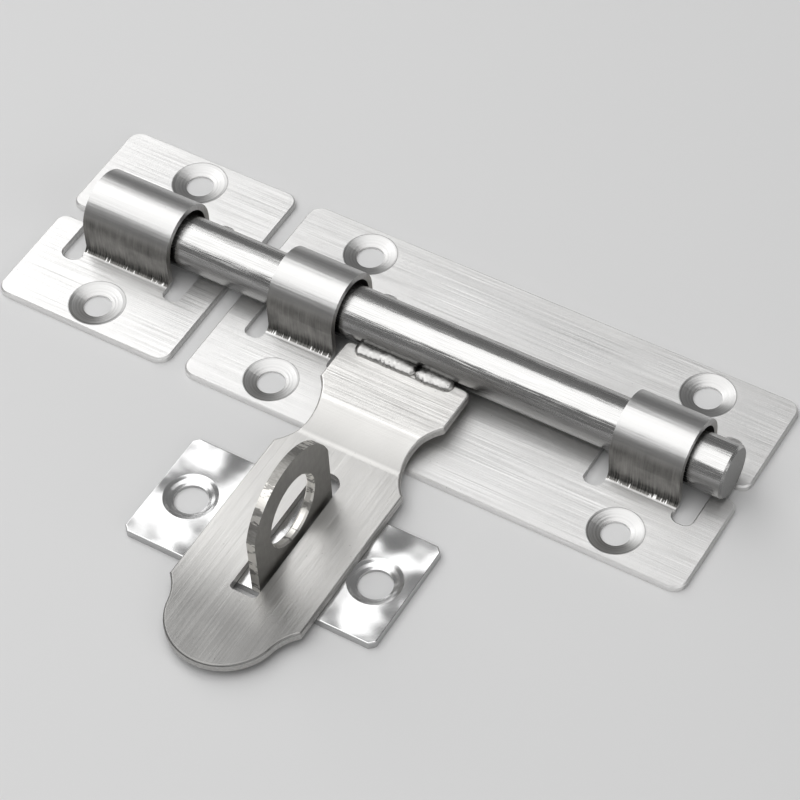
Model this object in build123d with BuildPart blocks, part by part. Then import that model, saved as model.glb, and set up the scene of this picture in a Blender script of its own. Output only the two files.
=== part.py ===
from build123d import *
import os
from math import atan2, cos, degrees, radians, sin

# Door bolt in stainless steel, locked and ready for a padlock. A round bolt slides in two straps that
# are pressed up from the base plate, and its end goes into a wider strap on the keeper. A slotted hasp
# is welded to the side of the bolt. With the bolt shot it drops over the eye of a staple.
# Frame: X runs along the bolt and +X draws it back, Y = 0 is the bolt's axis, X = 0 is the middle of
# the base plate, and Z = 0 is the door's face, on which all three plates lie. Millimetres.

# Sheet of the base plate and the keeper
sheet = 1.2
plate_width = 46.0
plate_corner = 2.6
edge_break = 0.3
base_length = 100.0
keeper_length = 37.0
keeper_gap = 3.3

# Bolt
bolt_radius = 5.0
bolt_length = 127.4
bolt_end_chamfer = 0.4
bolt_clearance = 0.1
keeper_engagement = 16.8

# Straps pressed up from the sheet, and the relief slots that free their sides
strap_width = 13.5
keeper_strap_width = 18.2
strap_play = 0.8
strap_headroom = 0.3
bend_radius = 1.2
foot_flat = 0.3
relief_width = 3.75
relief_reach = 10.3
relief_corner = 1.5

# Slit that opens the outer relief slot to the end of each plate
slit_width = 3.0
slit_mouth_round = 2.0
slit_root_round = 1.0

# Screw holes of the base plate and the keeper
screw_end_inset = 15.5
screw_pitch_y = 34.0
screw_hole_radius = 2.6
screw_sink_depth = 0.8
base_sink_radius = 4.95
keeper_sink_radius = 5.2

# Staple plate, lying on the door under the hasp
staple_sheet = 1.5
staple_length = 50.0
staple_depth = 23.0
staple_corner_cut = 1.0
staple_edge_round = 0.25
staple_offset = 20.6
staple_y = -46.0
staple_screw_pitch = 37.0
staple_hole_radius = 3.1
staple_sink_radius = 4.9
staple_sink_depth = 0.9

# Eye for the padlock, standing on the staple plate
eye_sheet = 1.65
eye_offset = 2.2
eye_width = 23.0
eye_crown_radius = 12.0
eye_center_height = 9.6
padlock_hole_radius = 6.5
eye_hole_chamfer = 0.35
tenon_width = 4.5
tenon_pitch = 12.0
tenon_clearance = 0.05

# Hasp: a cranked plate with a waist, a long slot and a round thumb end
hasp_sheet = 1.5
hasp_seat_gap = 0.1
hasp_root_gap = 0.15
hasp_root_drop = 2.0
hasp_root_corner = 1.3
hasp_edge_round = 0.45
neck_width = 25.2
neck_end = 14.5
waist_width = 19.5
blade_width = 26.0
blade_lead = 1.8
blade_tail = 2.2
crank_inset = 4.0
crank_radius = 6.0
thumb_offset = 4.8
thumb_radius = 10.55
thumb_flank_angle = 16.0
thumb_flank_depth = 0.5

# Slot of the hasp, with its play round the eye
slot_width = 5.3
slot_side_play = 0.6
slot_near_play = 3.4
slot_far_play = 2.4
slot_root_round = 2.5
slot_corner = 0.8

# Two weld beads in the corner between the bolt and the hasp
weld_clearance = 0.08
bead_radius = 1.45
bead_inset = 0.35
long_bead_inset = 2.3
long_bead_length = 12.4
short_bead_length = 7.0
bead_parting = 0.2

# Places that follow from the sizes above
bolt_z = sheet + bolt_clearance + bolt_radius
strap_inner = bolt_radius + strap_play
strap_outer = strap_inner + sheet
strap_crown_z = bolt_z + strap_headroom
foot_reach = strap_outer + bend_radius + foot_flat
screw_pitch_x = base_length - 2 * screw_end_inset
strap_places = (-screw_pitch_x / 2, screw_pitch_x / 2)
staple_x = strap_places[0] + staple_offset
base_end_x = base_length / 2
base_slit_root_x = strap_places[1] + strap_width / 2 + relief_width
keeper_x = -(base_length + keeper_length) / 2 - keeper_gap
keeper_end_x = keeper_x - keeper_length / 2
keeper_slit_root_x = keeper_x - keeper_strap_width / 2 - relief_width
bolt_tip_x = keeper_x + keeper_strap_width / 2 - keeper_engagement
eye_x = staple_x + eye_offset
eye_center_z = staple_sheet + eye_center_height
hasp_x = eye_x + eye_sheet / 2 + slot_side_play - slot_width / 2
slot_start = -staple_y - eye_width / 2 - slot_near_play
slot_end = -staple_y + eye_width / 2 + slot_far_play
blade_start = slot_start - blade_lead
blade_end = slot_end + blade_tail
thumb_center = slot_end + thumb_offset
hasp_blade_mid_z = staple_sheet + hasp_seat_gap + hasp_sheet / 2
hasp_root_mid_z = bolt_z - hasp_root_drop
hasp_root_top_z = hasp_root_mid_z + hasp_sheet / 2
hasp_root_y = bolt_radius + hasp_root_gap
thumb_end = thumb_center + thumb_radius
thumb_flank_x = thumb_radius * cos(radians(thumb_flank_angle))
thumb_flank_y = thumb_center + thumb_radius * sin(radians(thumb_flank_angle))
waist_sagitta = (neck_width + blade_width) / 4 - waist_width / 2
hasp_blank_width = max(neck_width, blade_width) + 2 * hasp_sheet
bead_y = -bolt_radius - bead_inset
long_bead_start = hasp_x - neck_width / 2 + long_bead_inset
short_bead_start = long_bead_start + long_bead_length + bead_parting

os.makedirs("parts", exist_ok=True)


def near(value, target):
    return abs(value - target) < 0.01


def sink_angle(hole_radius, sink_radius, sink_depth):
    """Full angle of a countersink of this depth."""
    return 2 * degrees(atan2(sink_radius - hole_radius, sink_depth))


def strap_window(width):
    """The sheared opening round a strap: the strip itself and a relief slot on each side of it."""
    Rectangle(width, 2 * foot_reach, mode=Mode.SUBTRACT)
    with Locations((-(width + relief_width) / 2, 0), ((width + relief_width) / 2, 0)):
        RectangleRounded(relief_width, 2 * relief_reach, relief_corner, mode=Mode.SUBTRACT)


def end_slit(outline, end_x, root_x):
    """A slit along the middle from the plate's end to the relief slot, with its corners rounded."""
    with Locations(((end_x + root_x) / 2, 0)):
        Rectangle(abs(end_x - root_x), slit_width, mode=Mode.SUBTRACT)
    for corner_x, corner_round in ((end_x, slit_mouth_round), (root_x, slit_root_round)):
        corners = outline.vertices().filter_by(
            lambda v: near(v.X, corner_x) and near(abs(v.Y), slit_width / 2))
        fillet(corners, corner_round)


def strap_section(section):
    """Section of a strap across the bolt: flat feet, bends, upright legs and a round crown."""
    Rectangle(2 * strap_outer, strap_crown_z, align=(Align.CENTER, Align.MIN))
    with Locations((0, strap_crown_z)):
        Circle(strap_outer)
    Rectangle(2 * foot_reach, sheet, align=(Align.CENTER, Align.MIN))
    Rectangle(2 * foot_reach, strap_outer, align=(Align.CENTER, Align.MAX), mode=Mode.SUBTRACT)
    fillet(
        section.vertices().filter_by(lambda v: near(abs(v.X), strap_outer) and near(v.Y, sheet)),
        bend_radius)
    Rectangle(2 * strap_inner, strap_crown_z, align=(Align.CENTER, Align.MIN), mode=Mode.SUBTRACT)
    with Locations((0, strap_crown_z)):
        Circle(strap_inner, mode=Mode.SUBTRACT)
    fillet(
        section.vertices().filter_by(lambda v: near(abs(v.X), strap_inner) and near(v.Y, 0)),
        bend_radius + sheet)


def outer_rim(plate, low_x, high_x):
    """Top edges round a plate's outline, without those of its inner relief slots and feet."""
    top_edges = plate.faces().sort_by(Axis.Z)[-1].edges()
    return top_edges.filter_by(
        lambda e: abs(e.center().Y) > relief_reach + edge_break or not low_x < e.center().X < high_x)


# Base plate: one sheet with two straps, lying under most of the bolt
with BuildPart() as base_plate:
    with BuildSketch() as base_outline:
        RectangleRounded(base_length, plate_width, plate_corner)
        for place in strap_places:
            with Locations((place, 0)):
                strap_window(strap_width)
        end_slit(base_outline, base_end_x, base_slit_root_x)
    extrude(amount=sheet)
    base_rim = outer_rim(base_plate, -base_end_x + edge_break, base_slit_root_x + slit_root_round)
    chamfer(base_rim, edge_break)
    for place in strap_places:
        with BuildSketch(Plane.YZ.offset(place - strap_width / 2)) as base_strap:
            strap_section(base_strap)
        extrude(amount=strap_width)
    with Locations((0, 0, sheet)):
        with GridLocations(screw_pitch_x, screw_pitch_y, 2, 2):
            CounterSinkHole(
                screw_hole_radius, base_sink_radius,
                counter_sink_angle=sink_angle(screw_hole_radius, base_sink_radius, screw_sink_depth))

# Keeper: a shorter plate of the same sheet with one wide strap, slit at its far end
with BuildPart() as keeper_plate:
    with BuildSketch() as keeper_outline:
        with Locations((keeper_x, 0)):
            RectangleRounded(keeper_length, plate_width, plate_corner)
            strap_window(keeper_strap_width)
        end_slit(keeper_outline, keeper_end_x, keeper_slit_root_x)
    extrude(amount=sheet)
    keeper_near_x = keeper_end_x + keeper_length - edge_break
    keeper_rim = outer_rim(keeper_plate, keeper_slit_root_x - slit_root_round, keeper_near_x)
    chamfer(keeper_rim, edge_break)
    with BuildSketch(Plane.YZ.offset(keeper_x - keeper_strap_width / 2)) as keeper_strap:
        strap_section(keeper_strap)
    extrude(amount=keeper_strap_width)
    with Locations((keeper_x, 0, sheet)):
        with GridLocations(0, screw_pitch_y, 1, 2):
            CounterSinkHole(
                screw_hole_radius, keeper_sink_radius,
                counter_sink_angle=sink_angle(screw_hole_radius, keeper_sink_radius, screw_sink_depth))

# Bolt: a plain round bar with its ends just broken
with BuildPart() as bolt_rod:
    with BuildSketch(Plane.YZ.offset(bolt_tip_x)):
        with Locations((0, bolt_z)):
            Circle(bolt_radius)
    extrude(amount=bolt_length)
    chamfer(bolt_rod.edges().filter_by(GeomType.CIRCLE), bolt_end_chamfer)

# Hasp: its section is cranked down from the bolt to lie on the staple, and is then cut to its outline
with BuildPart() as hasp_plate:
    with BuildSketch(Plane.YZ.offset(hasp_x - hasp_blank_width / 2)) as hasp_section:
        with BuildLine():
            FilletPolyline(
                (-hasp_root_y, hasp_root_mid_z), (-neck_end - crank_inset, hasp_root_mid_z),
                (-blade_start + crank_inset, hasp_blade_mid_z), (-thumb_end - hasp_sheet, hasp_blade_mid_z),
                radius=crank_radius)
        trace(line_width=hasp_sheet)
    extrude(amount=hasp_blank_width)
    with BuildSketch(Plane((hasp_x, 0, 0))) as hasp_outline:
        with BuildLine():
            Polyline((0, -hasp_root_y), (neck_width / 2, -hasp_root_y), (neck_width / 2, -neck_end))
            SagittaArc((neck_width / 2, -neck_end), (blade_width / 2, -blade_start), -waist_sagitta)
            Line((blade_width / 2, -blade_start), (blade_width / 2, -blade_end))
            SagittaArc((blade_width / 2, -blade_end), (thumb_flank_x, -thumb_flank_y), -thumb_flank_depth)
            CenterArc((0, -thumb_center), thumb_radius, -90, 90 - thumb_flank_angle)
            mirror(about=Plane.YZ)
        make_face()
        root_corners = hasp_outline.vertices().filter_by(
            lambda v: near(abs(v.X), neck_width / 2) and near(v.Y, -hasp_root_y))
        fillet(root_corners, hasp_root_corner)
        with Locations((0, -(slot_start + slot_end) / 2)):
            Rectangle(slot_width, slot_end - slot_start, mode=Mode.SUBTRACT)
        for corner_y, corner_round in ((-slot_start, slot_root_round), (-slot_end, slot_corner)):
            slot_corners = hasp_outline.vertices().filter_by(
                lambda v: near(abs(v.X), slot_width / 2) and near(v.Y, corner_y))
            fillet(slot_corners, corner_round)
    extrude(amount=bolt_z, mode=Mode.INTERSECT)
    top_edges = hasp_plate.faces().filter_by(lambda f: f.normal_at().Z > 0.9).edges()
    hasp_rim = top_edges.filter_by(
        lambda e: abs(e.center().X - hasp_x) > slot_width / 2 + slot_corner
        or e.center().Y < -slot_end - slot_corner)
    fillet(hasp_rim, hasp_edge_round)


def weld_bead(start_x, length):
    """A round-ended run along the joint, bedded on the hasp and coped to the bolt."""
    with BuildPart() as bead:
        with BuildSketch(Plane.XY.offset(hasp_root_top_z)):
            with Locations((start_x + length / 2, bead_y)):
                SlotOverall(length, 2 * bead_radius)
                Rectangle(length, bead_radius, align=(Align.CENTER, Align.MAX), mode=Mode.SUBTRACT)
        revolve(axis=Axis((start_x, bead_y, hasp_root_top_z), (1, 0, 0)))
        with BuildSketch(Plane.YZ.offset(start_x)):
            with Locations((0, bolt_z)):
                Circle(bolt_radius + weld_clearance)
            with Locations((-hasp_root_y, hasp_root_mid_z)):
                Rectangle(2 * bead_radius, hasp_sheet, align=(Align.MAX, Align.CENTER))
        extrude(amount=length, mode=Mode.SUBTRACT)
    return bead


weld_bead_long = weld_bead(long_bead_start, long_bead_length)
weld_bead_short = weld_bead(short_bead_start, short_bead_length)

# Staple plate: clipped corners, a screw hole at each end and two slots for the eye's tenons
with BuildPart() as staple_plate:
    with BuildSketch() as staple_outline:
        with Locations((staple_x, staple_y)):
            Rectangle(staple_length, staple_depth)
        chamfer(staple_outline.vertices(), staple_corner_cut)
    extrude(amount=staple_sheet)
    fillet(staple_plate.faces().sort_by(Axis.Z)[-1].edges(), staple_edge_round)
    with BuildSketch():
        with Locations((eye_x, staple_y)):
            with GridLocations(0, tenon_pitch, 1, 2):
                Rectangle(eye_sheet + 2 * tenon_clearance, tenon_width + 2 * tenon_clearance)
    extrude(amount=staple_sheet, mode=Mode.SUBTRACT)
    with Locations((staple_x, staple_y, staple_sheet)):
        with GridLocations(staple_screw_pitch, 0, 2, 1):
            CounterSinkHole(
                staple_hole_radius, staple_sink_radius,
                counter_sink_angle=sink_angle(staple_hole_radius, staple_sink_radius, staple_sink_depth))

# Eye: an upright plate with a round crown cut off at the sides, a hole for the shackle and two tenons
with BuildPart() as padlock_eye:
    with BuildSketch(Plane.YZ.offset(eye_x - eye_sheet / 2)):
        with Locations((staple_y, eye_center_z)):
            Circle(eye_crown_radius)
            Rectangle(eye_width, eye_crown_radius, align=(Align.CENTER, Align.MIN), mode=Mode.INTERSECT)
            Rectangle(eye_width, eye_center_height, align=(Align.CENTER, Align.MAX))
            Circle(padlock_hole_radius, mode=Mode.SUBTRACT)
        with Locations((staple_y - tenon_pitch / 2, staple_sheet), (staple_y + tenon_pitch / 2, staple_sheet)):
            Rectangle(tenon_width, staple_sheet, align=(Align.CENTER, Align.MAX))
    extrude(amount=eye_sheet)
    hole_rims = padlock_eye.edges().filter_by(GeomType.CIRCLE).filter_by(
        lambda e: near(e.radius, padlock_hole_radius))
    chamfer(hole_rims, eye_hole_chamfer)

pieces = {
    "base_plate": base_plate,
    "keeper_plate": keeper_plate,
    "bolt_rod": bolt_rod,
    "hasp_plate": hasp_plate,
    "weld_bead_long": weld_bead_long,
    "weld_bead_short": weld_bead_short,
    "staple_plate": staple_plate,
    "padlock_eye": padlock_eye,
}
for name, piece in pieces.items():
    piece.part.label = name
    export_step(piece.part, f"parts/{name}.step")
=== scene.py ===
import math

import bmesh
import bpy
from mathutils import Matrix, Vector


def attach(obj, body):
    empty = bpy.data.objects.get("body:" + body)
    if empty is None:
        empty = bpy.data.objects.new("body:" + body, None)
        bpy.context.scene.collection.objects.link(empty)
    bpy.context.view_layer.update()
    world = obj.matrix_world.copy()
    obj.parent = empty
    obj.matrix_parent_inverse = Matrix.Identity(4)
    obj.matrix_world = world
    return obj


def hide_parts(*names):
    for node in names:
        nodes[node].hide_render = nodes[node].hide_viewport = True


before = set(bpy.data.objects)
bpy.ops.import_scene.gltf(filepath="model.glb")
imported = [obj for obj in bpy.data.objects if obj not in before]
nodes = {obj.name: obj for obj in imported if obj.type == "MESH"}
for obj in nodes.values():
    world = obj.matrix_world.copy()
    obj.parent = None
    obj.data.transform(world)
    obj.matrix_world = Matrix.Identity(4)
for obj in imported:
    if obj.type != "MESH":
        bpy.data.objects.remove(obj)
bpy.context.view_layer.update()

# Looks of a stainless door bolt: satin sheet brushed along the bolt, a drawn bar, a hasp brushed two
# ways, rippled weld, a nearly mirror-like staple plate and a dull eye with bright sheared edges.
# Places and sizes are in millimetres in the part's own frame. Those of the camera, the lamps and the
# floor's width are in metres.
MM = 0.001
X = (1.0, 0.0, 0.0)
Y = (0.0, 1.0, 0.0)

# Camera at the photograph's angle, in metres, degrees and millimetres of lens
camera_place = Vector((0.17863, -0.29718, 0.41717))
camera_azimuth = 33.587
camera_elevation = 50.352
camera_roll = -3.595
camera_lens = 138.62
camera_sensor = 36.0

# Soft lamps: name, place, target, width, depth and radiance. The plates and the tops of the straps
# mirror the one overhead, the left one fills the brushed sheet and the right one lights the far sides.
lamps = (
    ("overhead_box", (-0.35, -0.285, 0.90), (-0.35, -0.285, 0.0), 1.25, 1.42, 1.6),
    ("left_box", (-0.80, 0.40, 0.62), (0.0, 0.0, 0.0), 0.6, 0.7, 1.6),
    ("right_box", (0.95, -0.45, 0.55), (0.0, 0.0, 0.0), 1.4, 0.6, 1.0),
)
world_level = 0.19

# Floor: half its width, and how far it lies below the part
floor_half_width = 12.0
floor_drop = 0.05
floor_tone, floor_roughness = 0.72, 0.9

# Base plate and keeper: the sheet's top, the screw holes, their countersinks and the width of the
# painted shade at their lips
sheet_top = 1.2
screw_row_x = 34.5
screw_row_y = 17.0
base_sink_radius = 4.95
keeper_sink_radius = 5.2
sink_depth = 0.8
lip_shade_width = 0.14
keeper_x = -71.8

# Straps: heights between which their tone sets in, and their drawn legs, darkened by painted shade,
# with teeth of painted reflection at the feet
strap_from, strap_full = 2.5, 5.0
leg_top, leg_full = 11.6, 8.4
leg_near_y, leg_near_soft = 3.0, 1.5
leg_reach = 8.45
reflected_tooth_length = 1.2
foot_top, foot_full = 4.6, 1.8

# Hasp: the stretches of Y in which one brushing takes over from the next, the thumb end that is painted
# darker as shade, and the end of the crank, whose slope is painted darker as shade
neck_from, neck_full = -19.5, -12.5
blade_from, blade_full = -18.5, -27.0
thumb_shade_from, thumb_shade_full = -50.0, -67.0
crank_shade_none, crank_shade_full = -28.0, -26.0

# Staple and eye
staple_x, staple_y = -13.9, -46.0
staple_screw_x = 18.5
staple_sink_radius = 4.9
eye_shoulder_z = 14.5
eye_crown_z = 23.1
shoulder_tear = 3.6
crown_tear = 1.1

# Weld: its line along the hasp's root, the pit between its two runs, painted dark as shade, and the
# runs' own shape
weld_middle_x = -13.4
weld_half_length = 8.35
weld_pit_shade_x, weld_pit_shade_y = -11.0, -5.65
weld_line_y = -5.95
weld_line_z = 5.15
weld_half_width = 1.5
weld_height = 0.85
weld_long_ends = (-23.3, -10.9)
weld_short_ends = (-11.1, -3.5)
ring_spacing = 0.22
ripple_pitch = 0.95
ripple_bow = 0.25
ripple_depth = 0.03
swell_depths = (0.07, 0.05)
wander_depth = 0.10
sorting_slant = Vector((1.0, 0.37, 0.11))

# Tones of the bare metal, from 0, black, to 1, white, and roughness. The legs', the blade's and the
# thumb's tones are darkened with painted shade.
sheet_tone, sheet_roughness = 0.86, 0.45
strap_tone, strap_roughness = 0.59, 0.33
leg_shade_tone, leg_roughness = 0.17, 0.40
sink_tone, sink_roughness = 0.52, 0.33
sheared_tone = 0.5
bar_tone, bar_roughness = 0.56, 0.25
sawn_tone, sawn_roughness = 0.29, 0.48
neck_tone, blade_shade_tone, thumb_shade_tone = 0.86, 0.64, 0.25
hasp_edge_tone, hasp_roughness = 0.48, 0.40
weld_tone, weld_roughness = 0.5, 0.34
staple_tone, staple_roughness = 0.74, 0.22
eye_face_tone, eye_face_roughness = 0.30, 0.42
eye_edge_tone, eye_edge_roughness = 0.80, 0.41
torn_tone, torn_roughness = 0.30, 0.48


class Value:
    """A number, colour or direction that varies over a surface. Python's arithmetic adds Math nodes."""

    def __init__(self, finish, socket):
        self.finish = finish
        self.socket = socket

    def math(self, operation, *others):
        return self.finish.math(operation, self, *others)

    def __add__(self, other):
        return self.math("ADD", other)

    def __radd__(self, other):
        return self.math("ADD", other)

    def __sub__(self, other):
        return self.math("SUBTRACT", other)

    def __rsub__(self, other):
        return self.finish.math("SUBTRACT", other, self)

    def __mul__(self, other):
        return self.math("MULTIPLY", other)

    def __rmul__(self, other):
        return self.math("MULTIPLY", other)

    def __truediv__(self, other):
        return self.math("DIVIDE", other)

    def __pow__(self, other):
        return self.math("POWER", other)

    def __abs__(self):
        return self.math("ABSOLUTE")

    def sign(self):
        return self.math("SIGN")

    def most(self, other):
        return self.math("MAXIMUM", other)

    def swing(self, amount):
        """Noise from 0 to 1 as a swing about 0, half the amount each way."""
        return (self - 0.5) * amount

    def rise(self, low, high):
        """0 below low, 1 above high and a smooth step between them, falling if low is the higher."""
        falls = low > high
        start, end = (high, low) if falls else (low, high)
        return self.finish.node(
            "ShaderNodeMapRange",
            {"Value": self, "From Min": start, "From Max": end,
             "To Min": float(falls), "To Max": float(not falls)},
            interpolation_type="SMOOTHSTEP")

    def within(self, low, high, soft):
        """1 between low and high and 0 outside them, over a soft edge."""
        return self.rise(low - soft, low + soft) * self.rise(high + soft, high - soft)

    def toward(self, other, amount):
        """This value where amount is 0 and the other where it is 1."""
        return self + (other - self) * amount


class Finish:
    """One material. node() adds a node: its type, its sockets' values or links, and its settings."""

    def __init__(self, name):
        self.material = bpy.data.materials.new(name)
        self.material.use_nodes = True
        self.tree = self.material.node_tree
        self.tree.nodes.clear()
        self.output = self.tree.nodes.new("ShaderNodeOutputMaterial")

    def node(self, kind, inputs, take=0, **settings):
        made = self.tree.nodes.new(kind)
        for key, setting in settings.items():
            setattr(made, key, setting)
        for key, value in inputs.items():
            if isinstance(value, Value):
                self.tree.links.new(value.socket, made.inputs[key])
            else:
                made.inputs[key].default_value = value
        return Value(self, made.outputs[take])

    def math(self, operation, *values):
        return self.node("ShaderNodeMath", dict(enumerate(values)), operation=operation)

    def vectors(self, operation, *values):
        return self.node("ShaderNodeVectorMath", dict(enumerate(values)), operation=operation)

    def place(self):
        """The point's place in the part's frame, in millimetres."""
        point = self.node("ShaderNodeTexCoord", {}, take="Object")
        return self.vectors("MULTIPLY", point, (1 / MM,) * 3)

    def facing(self):
        """The way that the surface faces in the part's frame."""
        return self.node("ShaderNodeTexCoord", {}, take="Normal")

    def parts(self, vector):
        split = self.node("ShaderNodeSeparateXYZ", {"Vector": vector})
        outputs = split.socket.node.outputs
        return [Value(self, outputs[axis]) for axis in "XYZ"]

    def joined(self, x, y, z):
        return self.node("ShaderNodeCombineXYZ", {"X": x, "Y": y, "Z": z})

    def grain(self, place, size, shift, detail=2.0):
        """Noise from 0 to 1 whose marks are as long as size says along each axis, in millimetres."""
        stretched = self.vectors("MULTIPLY", place, tuple(1 / s for s in size))
        moved = self.vectors("ADD", stretched, (shift, shift * 1.7, shift * 0.6))
        return self.node(
            "ShaderNodeTexNoise", {"Vector": moved, "Scale": 1.0, "Detail": detail, "Roughness": 0.5},
            take="Fac", noise_dimensions="3D")

    def pits(self, place, spacing, size):
        """1 in small scattered pits and 0 between them. Spacing and size are in millimetres."""
        cells = self.node(
            "ShaderNodeTexVoronoi", {"Vector": place, "Scale": 1 / spacing}, take="Distance")
        return cells.rise(size / spacing, 0.5 * size / spacing)

    def grey(self, level, warmth):
        """A near-neutral colour of that level. Warmth moves a little of its blue to its red."""
        return self.joined(level * (1 + warmth / 2), level, level * (1 - warmth))

    def leaned(self, *leans):
        """The surface's normal, leaned along each direction by its amount as fine scratches do."""
        normal = self.node("ShaderNodeNewGeometry", {}, take="Normal")
        for direction, amount in leans:
            if direction == "across X":
                direction = self.vectors("CROSS_PRODUCT", normal, X)
            lean = self.node("ShaderNodeVectorMath", {0: direction, "Scale": amount}, operation="SCALE")
            normal = self.vectors("ADD", normal, lean)
        return self.vectors("NORMALIZE", normal)

    def metal(self, color, roughness, normal, relief=None, depth=0.0):
        """Bare metal. Relief is a height from 0 to 1 that is depth millimetres deep."""
        if relief is not None:
            normal = self.node(
                "ShaderNodeBump",
                {"Height": relief, "Distance": depth * MM, "Strength": 1.0, "Normal": normal})
        shader = self.node(
            "ShaderNodeBsdfPrincipled",
            {"Base Color": color, "Roughness": roughness, "Normal": normal, "Metallic": 1.0})
        self.tree.links.new(shader.socket, self.output.inputs["Surface"])
        return self.material


def around(finish, x, y, center_x, center_y):
    """Distance from a hole's axis in millimetres, and the direction away from it."""
    off_x = x - center_x
    off_y = y - center_y
    distance = (off_x * off_x + off_y * off_y) ** 0.5
    return distance, finish.joined(off_x / distance, off_y / distance, 0.0)


def sheet_finish(name, middle_x, hole_x, sink_radius):
    """Satin sheet, brushed along X, with drawn legs on its straps darkened by painted shade, and turned
    countersinks with painted shade at their lips.
    """
    finish = Finish(name)
    place = finish.place()
    x, y, z = finish.parts(place)
    rim = abs(finish.parts(finish.facing())[0]).rise(0.8, 0.95)
    hair = finish.grain(place, (22.0, 0.035, 0.035), 3.1)
    lines = finish.grain(place, (60.0, 0.13, 0.3), 11.0)
    bands = finish.grain(place, (110.0, 0.9, 2.0), 7.0)
    cloud = finish.grain(place, (30.0, 9.0, 9.0), 5.0)
    sheared = finish.grain(place, (0.3, 0.3, 1.6), 6.0, 3.0)

    strap = z.rise(strap_from, strap_full)
    # Near the feet the legs are painted darker as shade, with stronger streaks of painted reflection.
    foot_shade_and_reflection = z.rise(foot_top, foot_full)
    drawn = finish.grain(place, (0.2, 3.0, 5.0), 8.0, 3.0)
    smear = finish.grain(place, (1.6, 4.0, 2.6), 4.0, 3.0)
    # Painted reflection of the plate's brushing: teeth of brighter gaps cut into the dark legs at their
    # feet.
    reflected_tooth = finish.grain(finish.joined(x, 0.0, 0.0), (0.34, 1.0, 1.0), 2.0, 3.0).rise(0.52, 0.66)
    leg = abs(y).rise(leg_near_y - leg_near_soft, leg_near_y + leg_near_soft)
    leg = leg * z.rise(leg_top, leg_full) * z.rise(sheet_top, sheet_top + 0.12)
    leg = leg * (leg_reach - reflected_tooth * reflected_tooth_length - abs(y)).rise(-0.06, 0.1)

    nearest_x = (x - middle_x).sign() * hole_x + middle_x if hole_x else middle_x
    distance, outward = around(finish, x, y, nearest_x, y.sign() * screw_row_y)
    turned = finish.grain(finish.joined(distance, 0.0, 0.0), (0.1, 1.0, 1.0), 4.0)
    sink = distance.rise(sink_radius + 0.04, sink_radius - 0.04)
    sink = sink * z.rise(sheet_top - sink_depth - 0.05, sheet_top - sink_depth)
    # Painted shade: a dark ring along each countersink's lip.
    lip_shade = distance.within(sink_radius - 0.02, sink_radius + lip_shade_width, 0.05)
    lip_shade = lip_shade * z.rise(sheet_top - 0.2, sheet_top)

    tone = sheet_tone + lines.swing(0.08) + bands.swing(0.05) + cloud.swing(0.08)
    tone = tone - strap * (sheet_tone - strap_tone)
    # The legs' tone is painted shade laid over the drawn marks.
    scored_and_shaded = leg_shade_tone + drawn.swing(0.16 + foot_shade_and_reflection * 0.3) + smear.swing(0.16) - foot_shade_and_reflection * 0.05
    tone = tone.toward(scored_and_shaded, leg)
    tone = tone.toward(sink_tone + turned.swing(0.3), sink) * (1 - lip_shade * 0.45)
    tone = tone.toward(sheared_tone + sheared.swing(0.5), rim * 0.7)
    tone = tone * (1 - finish.pits(place, 2.3, 0.10) * 0.35)
    roughness = sheet_roughness + lines.swing(0.12) - strap * (sheet_roughness - strap_roughness)
    roughness = roughness.toward(leg_roughness, leg).toward(sink_roughness, sink)
    normal = finish.leaned(
        ("across X", hair.swing(0.7) * (1 - leg) * (1 - sink)),
        (X, drawn.swing(0.5) * leg),
        (outward, turned.swing(0.8) * sink))
    return finish.metal(finish.grey(tone, 0.010 + leg * 0.04), roughness, normal)


def bar_finish():
    """Drawn bar, brushed along its length, with painted shade darkening its flanks and underside, and a
    sawn end.
    """
    finish = Finish("drawn_bar")
    place = finish.place()
    facing_x, facing_y, facing_z = finish.parts(finish.facing())
    hair = finish.grain(place, (5.0, 0.07, 0.07), 1.0)
    lines = finish.grain(place, (6.0, 0.16, 0.16), 5.0, 3.0)
    bands = finish.grain(place, (50.0, 0.45, 0.45), 9.0)
    saw = finish.grain(place, (1.0, 0.5, 0.12), 3.0)
    end = abs(facing_x).rise(0.85, 0.97)
    # Painted shade: the tone darkens on the flanks and the underside, away from the top.
    shaded_flank = facing_z.rise(0.6, 0.2)
    tone = (bar_tone + lines.swing(0.34) + bands.swing(0.12)) * (1 - shaded_flank * 0.6)
    tone = tone.toward(sawn_tone + saw.swing(0.14), end)
    tone = tone * (1 - finish.pits(place, 2.9, 0.1) * 0.4)
    roughness = (bar_roughness + lines.swing(0.2)).toward(sawn_roughness, end)
    scratches = hair.swing(0.3) + lines.swing(0.3) + bands.swing(0.3)
    normal = finish.leaned(("across X", scratches * (1 - end)))
    return finish.metal(finish.grey(tone, 0.012), roughness, normal, saw * end, 0.01)


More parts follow.
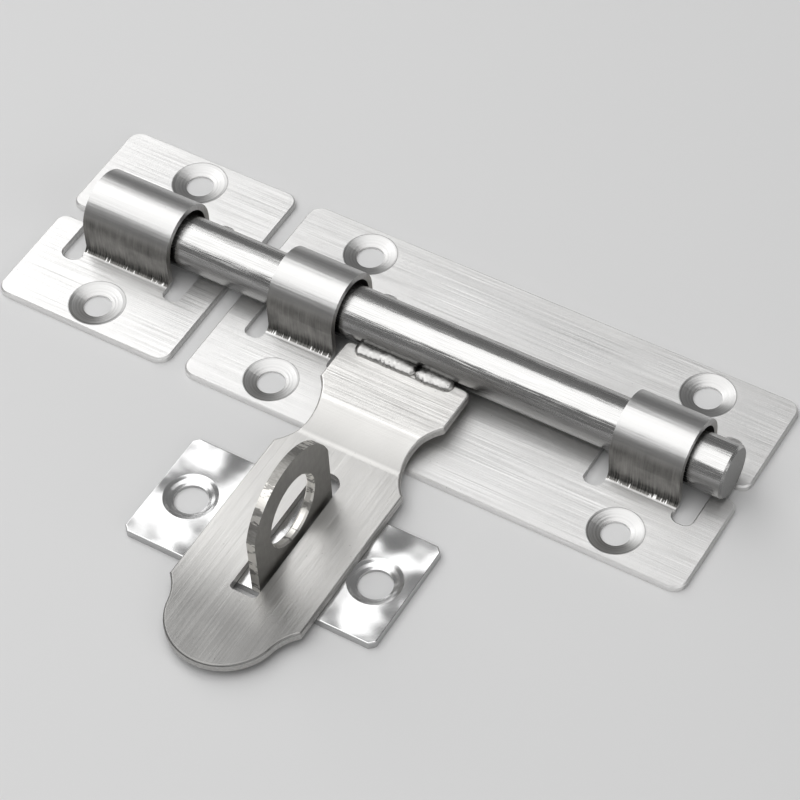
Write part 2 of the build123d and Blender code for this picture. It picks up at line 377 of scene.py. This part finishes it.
def hasp_finish():
    """Satin sheet, brushed across the neck, then round the waist and along the blade, with painted
    shade on the blade, the thumb end, the crank and round the weld.
    """
    finish = Finish("hasp_sheet")
    place = finish.place()
    x, y, z = finish.parts(place)
    facing_x, facing_y, facing_z = finish.parts(finish.facing())
    neck = y.rise(neck_from, neck_full)
    blade = y.rise(blade_from, blade_full)
    turn = 1 - neck - blade
    thumb_shade = y.rise(thumb_shade_from, thumb_shade_full)
    # Painted shade: the crank's slope, which faces toward minus Y, is darker.
    crank_shade = facing_y.rise(-0.06, -0.22) * y.rise(crank_shade_none, crank_shade_full)
    edge = abs(facing_z).rise(0.5, 0.2)
    neck_lines = finish.grain(place, (45.0, 0.13, 0.4), 2.0, 3.0)
    turn_lines = finish.grain(finish.joined(x + y, x - y, z), (55.0, 0.18, 1.0), 6.0, 3.0)
    blade_lines = finish.grain(place, (0.13, 50.0, 0.5), 8.0, 3.0)
    lines = neck_lines * neck + turn_lines * turn + blade_lines * blade
    neck_hair = finish.grain(place, (16.0, 0.035, 0.035), 4.0)
    blade_hair = finish.grain(place, (0.035, 16.0, 0.035), 5.0)
    cloud = finish.grain(place, (7.0, 11.0, 8.0), 3.0, 3.0)
    sheared = finish.grain(place, (0.5, 0.5, 0.25), 6.0, 3.0)

    beyond = (abs(x - weld_middle_x) - weld_half_length).most(0.0)
    beside = y - weld_line_y
    from_weld = (beyond * beyond + beside * beside) ** 0.5
    wander = finish.grain(place, (1.1, 1.1, 1.1), 9.0, 3.0)
    heat = (from_weld + wander.swing(1.2)).rise(2.6, 1.3) * y.rise(-9.0, -7.5)
    # Painted shade: a thin dark line round the weld's edge on the hasp.
    outline_shade = (from_weld + wander.swing(0.3)).within(1.3, 1.62, 0.1) * facing_z.rise(0.6, 0.8)

    tone = neck_tone + lines.swing(0.12) + cloud.swing(0.12)
    # Painted shade: the blade is darker than the neck, and the thumb end darker still.
    tone = tone - blade * (neck_tone - blade_shade_tone) - thumb_shade * (blade_shade_tone - thumb_shade_tone)
    tone = (tone * (1 - crank_shade * 0.38)).toward(hasp_edge_tone + sheared.swing(0.4), edge)
    tone = tone * (1 - heat * 0.12) * (1 - outline_shade * 0.6)
    tone = tone * (1 - finish.pits(place, 2.1, 0.12) * 0.4)
    roughness = hasp_roughness + lines.swing(0.12) - thumb_shade * 0.06 + edge * 0.05
    normal = finish.leaned(
        ("across X", neck_hair.swing(1.0) * (neck * 0.8 + turn * 0.6)),
        (X, blade_hair.swing(1.0) * (blade * 0.8 + turn * 0.4)))
    return finish.metal(finish.grey(tone, 0.025), roughness, normal)


def weld_finish():
    """Weld with an uneven skin, a few dark specks and painted shade in the pit between its two runs."""
    finish = Finish("weld")
    place = finish.place()
    x, y, z = finish.parts(place)
    wander = finish.grain(place, (0.9, 0.7, 0.7), 2.0, 3.0)
    # Painted shade: the pit between the two runs is darkened.
    off_x = x - weld_pit_shade_x
    off_y = y - weld_pit_shade_y
    pit_shade = (off_x * off_x + off_y * off_y + wander.swing(0.6)).rise(0.7, 0.2)
    tone = weld_tone + wander.swing(0.4) - finish.pits(place, 0.9, 0.16) * 0.3
    color = finish.grey(tone * (1 - pit_shade * 0.85), 0.02)
    return finish.metal(color, weld_roughness + wander.swing(0.2), finish.leaned(), wander, 0.04)


def staple_finish():
    """Bright rolled sheet, nearly a mirror, faintly wavy, with stepped countersinks."""
    finish = Finish("bright_sheet")
    place = finish.place()
    x, y, z = finish.parts(place)
    side = abs(finish.parts(finish.facing())[2]).rise(0.5, 0.2)
    wave_x = finish.grain(place, (7.0, 5.0, 9.0), 3.0, 1.0)
    wave_y = finish.grain(place, (8.0, 7.0, 9.0), 13.0, 1.0)
    speck = finish.grain(place, (0.25, 0.25, 0.25), 5.0, 3.0)
    nearest_x = (x - staple_x).sign() * staple_screw_x + staple_x
    distance, outward = around(finish, x, y, nearest_x, staple_y)
    sink = distance.rise(staple_sink_radius + 0.05, staple_sink_radius - 0.05)
    turned = finish.grain(finish.joined(distance, 0.0, 0.0), (0.35, 1.0, 1.0), 4.0)
    flat = (1 - sink) * (1 - side)
    tone = staple_tone + speck.swing(0.12) - side * 0.2
    roughness = staple_roughness + speck.swing(0.1) + side * 0.15
    normal = finish.leaned(
        (X, wave_x.swing(0.35) * flat),
        (Y, (wave_y.swing(0.6) - 0.01) * flat),
        (outward, turned.swing(0.6) * sink),
        (Y, speck.swing(0.06)))
    return finish.metal(finish.grey(tone, 0.0), roughness, normal)


def eye_finish():
    """Dull rolled face, with a sheared edge that is bright in part and torn in part."""
    finish = Finish("sheared_plate")
    place = finish.place()
    z = finish.parts(place)[2]
    face = abs(finish.parts(finish.facing())[0]).rise(0.8, 0.95)
    mottle = finish.grain(place, (1.4, 1.4, 1.4), 3.0, 4.0)
    rolled = finish.grain(place, (0.3, 0.25, 5.0), 7.0, 3.0)
    ragged = finish.grain(place, (1.2, 0.35, 0.35), 6.0, 4.0)
    patches = finish.grain(place, (3.0, 1.6, 1.6), 12.0, 3.0) + ragged.swing(0.3)
    height = z + ragged.swing(3.0)
    at_shoulder = height.within(eye_shoulder_z, eye_shoulder_z + shoulder_tear, 0.15)
    at_crown = height.rise(eye_crown_z - crown_tear - 0.2, eye_crown_z - crown_tear + 0.2)
    torn = patches.rise(0.53, 0.6).most(at_shoulder).most(at_crown)
    edge = (eye_edge_tone + ragged.swing(0.2)).toward(torn_tone + ragged.swing(0.3), torn)
    tone = edge.toward(eye_face_tone + mottle.swing(0.12) + rolled.swing(0.08), face)
    roughness = eye_edge_roughness + torn * (torn_roughness - eye_edge_roughness)
    roughness = roughness.toward(eye_face_roughness, face)
    relief = (ragged * torn).toward(mottle * 0.3, face)
    return finish.metal(finish.grey(tone, 0.05), roughness, finish.leaned(), relief, 0.02)


def floor_finish():
    """Matt paint with a trace of unevenness."""
    finish = Finish("floor_paint")
    cloud = finish.grain(finish.place(), (180.0, 180.0, 180.0), 1.0)
    color = finish.grey(floor_tone + cloud.swing(0.02), 0.0)
    shader = finish.node(
        "ShaderNodeBsdfPrincipled", {"Base Color": color, "Roughness": floor_roughness})
    finish.tree.links.new(shader.socket, finish.output.inputs["Surface"])
    return finish.material


def finish_node(name, material):
    mesh = nodes[name].data
    mesh.materials.clear()
    mesh.materials.append(material)


def new_piece(name, shape, material):
    """An object at the origin made from a bmesh, with its material."""
    mesh = bpy.data.meshes.new(name)
    shape.to_mesh(mesh)
    shape.free()
    mesh.materials.append(material)
    piece = bpy.data.objects.new(name, mesh)
    bpy.context.scene.collection.objects.link(piece)
    return piece


finish_node("base_plate", sheet_finish("base_sheet", 0.0, screw_row_x, base_sink_radius))
finish_node("keeper_plate", sheet_finish("keeper_sheet", keeper_x, 0.0, keeper_sink_radius))
finish_node("bolt_rod", bar_finish())
finish_node("hasp_plate", hasp_finish())
finish_node("staple_plate", staple_finish())
finish_node("padlock_eye", eye_finish())
weld = weld_finish()


def weld_bead(name, node, ends, phase):
    """A flat run of weld, bedded in the bolt's side and the hasp, uneven and rippled along it."""
    start_x, end_x = ends
    shape = bmesh.new()
    bmesh.ops.create_uvsphere(shape, u_segments=40, v_segments=24, radius=1.0)
    bmesh.ops.rotate(shape, verts=shape.verts, matrix=Matrix.Rotation(math.radians(90), 3, "Y"))
    bmesh.ops.scale(shape, verts=shape.verts, vec=(weld_half_width, weld_half_width, weld_height))
    half = (end_x - start_x) / 2 - weld_half_width
    for way in (-1, 1):
        side = [v for v in shape.verts if v.co.x * way > 0.001]
        bmesh.ops.translate(shape, verts=side, vec=(way * half, 0, 0))
    ring_x = -half + ring_spacing
    while ring_x < half:
        everything = [*shape.verts, *shape.edges, *shape.faces]
        bmesh.ops.bisect_plane(shape, geom=everything, plane_co=(ring_x, 0, 0), plane_no=(1, 0, 0))
        ring_x += ring_spacing
    long_swell, short_swell = swell_depths
    for v in shape.verts:
        swell = 1 + long_swell * math.sin(v.co.x * 0.9 + phase)
        swell += short_swell * math.sin(v.co.x * 2.3 + 2 * phase)
        bowed_x = v.co.x - ripple_bow * v.co.y ** 2
        width = swell * (1 + ripple_depth * math.sin(bowed_x * 2 * math.pi / ripple_pitch))
        v.co.y = v.co.y * width + wander_depth * math.sin(v.co.x * 0.7 + 3 * phase)
        v.co.z *= width
    middle = ((start_x + end_x) / 2, weld_line_y, weld_line_z)
    bmesh.ops.translate(shape, verts=shape.verts, vec=middle)
    bmesh.ops.scale(shape, verts=shape.verts, vec=(MM, MM, MM))
    bmesh.ops.recalc_face_normals(shape, faces=shape.faces)
    for face in shape.faces:
        face.smooth = True
    # bisect_plane leaves corners and faces in an order that changes from run to run
    shape.verts.sort(key=lambda v: v.co.dot(sorting_slant))
    shape.faces.sort(key=lambda f: f.calc_center_median().dot(sorting_slant))
    bead = new_piece(name, shape, weld)
    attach(bead, "hasp")
    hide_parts(node)


weld_bead("weld_run_long", "weld_bead_long", weld_long_ends, 0.4)
weld_bead("weld_run_short", "weld_bead_short", weld_short_ends, 2.1)

floor_shape = bmesh.new()
bmesh.ops.create_grid(floor_shape, x_segments=1, y_segments=1, size=floor_half_width)
bmesh.ops.translate(floor_shape, verts=floor_shape.verts, vec=(0, 0, -floor_drop * MM))
floor = new_piece("floor", floor_shape, floor_finish())


def softbox(name, place, target, width, depth, radiance):
    """A soft rectangular lamp at a place, turned to its target."""
    lamp = bpy.data.lights.new(name, "AREA")
    lamp.shape = "RECTANGLE"
    lamp.size, lamp.size_y = width, depth
    lamp.energy = radiance * math.pi * width * depth
    box = bpy.data.objects.new(name, lamp)
    box.location = place
    box.rotation_euler = (Vector(target) - Vector(place)).to_track_quat("-Z", "Y").to_euler()
    bpy.context.scene.collection.objects.link(box)


for lamp_values in lamps:
    softbox(*lamp_values)

world = bpy.data.worlds.new("studio")
world.use_nodes = True
world.node_tree.nodes["Background"].inputs["Color"].default_value = (*(world_level,) * 3, 1.0)
bpy.context.scene.world = world

# Camera
azimuth = math.radians(camera_azimuth)
elevation = math.radians(camera_elevation)
level_part = math.cos(elevation)
back = Vector((
    math.sin(azimuth) * level_part, -math.cos(azimuth) * level_part, math.sin(elevation)))
right = Vector((math.cos(azimuth), math.sin(azimuth), 0))
turn = Matrix((right, back.cross(right), back)).transposed()
turn = turn @ Matrix.Rotation(math.radians(camera_roll), 3, "Z")
camera_data = bpy.data.cameras.new("camera")
camera_data.lens = camera_lens
camera_data.sensor_width = camera_sensor
camera = bpy.data.objects.new("camera", camera_data)
camera.matrix_world = Matrix.Translation(camera_place) @ turn.to_4x4()
bpy.context.scene.collection.objects.link(camera)
bpy.context.scene.camera = camera
bpy.context.scene.view_settings.view_transform = "Standard"
